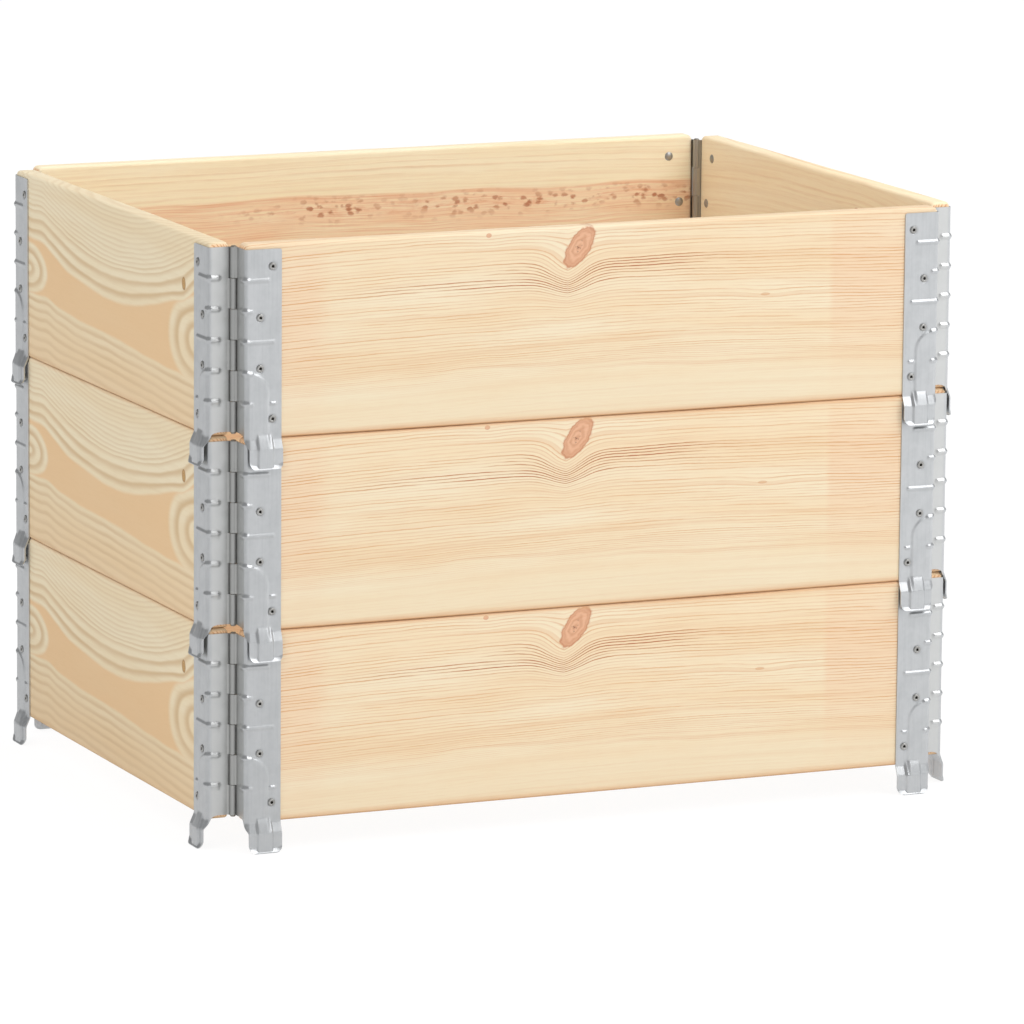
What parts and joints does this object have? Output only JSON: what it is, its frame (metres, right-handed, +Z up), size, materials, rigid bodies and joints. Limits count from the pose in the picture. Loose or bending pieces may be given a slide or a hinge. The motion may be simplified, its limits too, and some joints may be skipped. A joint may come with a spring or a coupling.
{
  "type": "pallet collar stack",
  "caption": "Stacked folding pallet collars of pine boards, joined at the corners by pressed galvanised hinges with rolled knuckles, pins, rivets and feet that hook over the layer below.",
  "frame": {"origin": "on the ground under the middle of the stack, level with the tips of the lowest feet", "axes": "+X along the long boards, +Y from the front board to the back board, +Z up"},
  "size_m": [0.8156, 0.6156, 0.6],
  "materials": {
    "pine": "planed, unfinished",
    "galvanised_sheet": "galvanised",
    "rivet_steel": "zinc plated",
    "pin_steel": "zinc plated"
  },
  "bodies": {
    "bottom_front": {"bottom_front_board": "pine", "bottom_front_leaf_left": "galvanised_sheet", "bottom_front_leaf_right": "galvanised_sheet", "bottom_front_rivets": "rivet_steel", "bottom_pin_front_left": "pin_steel"},
    "bottom_right": {"bottom_right_board": "pine", "bottom_right_leaf_left": "galvanised_sheet", "bottom_right_leaf_right": "galvanised_sheet", "bottom_right_rivets": "rivet_steel", "bottom_pin_front_right": "pin_steel"},
    "bottom_back": {"bottom_back_board": "pine", "bottom_back_leaf_left": "galvanised_sheet", "bottom_back_leaf_right": "galvanised_sheet", "bottom_back_rivets": "rivet_steel", "bottom_pin_back_right": "pin_steel"},
    "bottom_left": {"bottom_left_board": "pine", "bottom_left_leaf_left": "galvanised_sheet", "bottom_left_leaf_right": "galvanised_sheet", "bottom_left_rivets": "rivet_steel", "bottom_pin_back_left": "pin_steel"},
    "middle_front": {"middle_front_board": "pine", "middle_front_leaf_left": "galvanised_sheet", "middle_front_leaf_right": "galvanised_sheet", "middle_front_rivets": "rivet_steel", "middle_pin_front_left": "pin_steel"},
    "middle_right": {"middle_right_board": "pine", "middle_right_leaf_left": "galvanised_sheet", "middle_right_leaf_right": "galvanised_sheet", "middle_right_rivets": "rivet_steel", "middle_pin_front_right": "pin_steel"},
    "middle_back": {"middle_back_board": "pine", "middle_back_leaf_left": "galvanised_sheet", "middle_back_leaf_right": "galvanised_sheet", "middle_back_rivets": "rivet_steel", "middle_pin_back_right": "pin_steel"},
    "middle_left": {"middle_left_board": "pine", "middle_left_leaf_left": "galvanised_sheet", "middle_left_leaf_right": "galvanised_sheet", "middle_left_rivets": "rivet_steel", "middle_pin_back_left": "pin_steel"},
    "top_front": {"top_front_board": "pine", "top_front_leaf_left": "galvanised_sheet", "top_front_leaf_right": "galvanised_sheet", "top_front_rivets": "rivet_steel", "top_pin_front_left": "pin_steel"},
    "top_right": {"top_right_board": "pine", "top_right_leaf_left": "galvanised_sheet", "top_right_leaf_right": "galvanised_sheet", "top_right_rivets": "rivet_steel", "top_pin_front_right": "pin_steel"},
    "top_back": {"top_back_board": "pine", "top_back_leaf_left": "galvanised_sheet", "top_back_leaf_right": "galvanised_sheet", "top_back_rivets": "rivet_steel", "top_pin_back_right": "pin_steel"},
    "top_left": {"top_left_board": "pine", "top_left_leaf_left": "galvanised_sheet", "top_left_leaf_right": "galvanised_sheet", "top_left_rivets": "rivet_steel", "top_pin_back_left": "pin_steel"}
  },
  "joints": [
    {"name": "middle_lift", "type": "slide", "parent": "bottom_front", "child": "middle_front", "axis": [0, 0, 1], "range_m": [0, 0.2]},
    {"name": "top_lift", "type": "slide", "parent": "middle_front", "child": "top_front", "axis": [0, 0, 1], "range_m": [0, 0.2]},
    {"name": "bottom_hinge_front_left", "type": "hinge", "parent": "bottom_front", "child": "bottom_left", "pos_m": [-0.376, -0.276, 0], "axis": [0, 0, 1], "range_deg": [-89, 89]},
    {"name": "bottom_hinge_front_right", "type": "hinge", "parent": "bottom_front", "child": "bottom_right", "pos_m": [0.376, -0.276, 0], "axis": [0, 0, 1], "range_deg": [-89, 89]},
    {"name": "bottom_hinge_back_left", "type": "hinge", "parent": "bottom_left", "child": "bottom_back", "pos_m": [-0.376, 0.276, 0], "axis": [0, 0, 1], "range_deg": [-89, 89]},
    {"name": "middle_hinge_front_left", "type": "hinge", "parent": "middle_front", "child": "middle_left", "pos_m": [-0.376, -0.276, 0], "axis": [0, 0, 1], "range_deg": [-89, 89]},
    {"name": "middle_hinge_front_right", "type": "hinge", "parent": "middle_front", "child": "middle_right", "pos_m": [0.376, -0.276, 0], "axis": [0, 0, 1], "range_deg": [-89, 89]},
    {"name": "middle_hinge_back_left", "type": "hinge", "parent": "middle_left", "child": "middle_back", "pos_m": [-0.376, 0.276, 0], "axis": [0, 0, 1], "range_deg": [-89, 89]},
    {"name": "top_hinge_front_left", "type": "hinge", "parent": "top_front", "child": "top_left", "pos_m": [-0.376, -0.276, 0], "axis": [0, 0, 1], "range_deg": [-89, 89]},
    {"name": "top_hinge_front_right", "type": "hinge", "parent": "top_front", "child": "top_right", "pos_m": [0.376, -0.276, 0], "axis": [0, 0, 1], "range_deg": [-89, 89]},
    {"name": "top_hinge_back_left", "type": "hinge", "parent": "top_left", "child": "top_back", "pos_m": [-0.376, 0.276, 0], "axis": [0, 0, 1], "range_deg": [-89, 89]}
  ],
  "couplings": [
    {"joint": "bottom_hinge_front_right", "follows": "bottom_hinge_front_left", "ratio": 1},
    {"joint": "bottom_hinge_back_left", "follows": "bottom_hinge_front_left", "ratio": -1},
    {"joint": "middle_hinge_front_left", "follows": "bottom_hinge_front_left", "ratio": 1},
    {"joint": "middle_hinge_front_right", "follows": "bottom_hinge_front_left", "ratio": 1},
    {"joint": "middle_hinge_back_left", "follows": "bottom_hinge_front_left", "ratio": -1},
    {"joint": "top_hinge_front_left", "follows": "bottom_hinge_front_left", "ratio": 1},
    {"joint": "top_hinge_front_right", "follows": "bottom_hinge_front_left", "ratio": 1},
    {"joint": "top_hinge_back_left", "follows": "bottom_hinge_front_left", "ratio": -1}
  ]
}
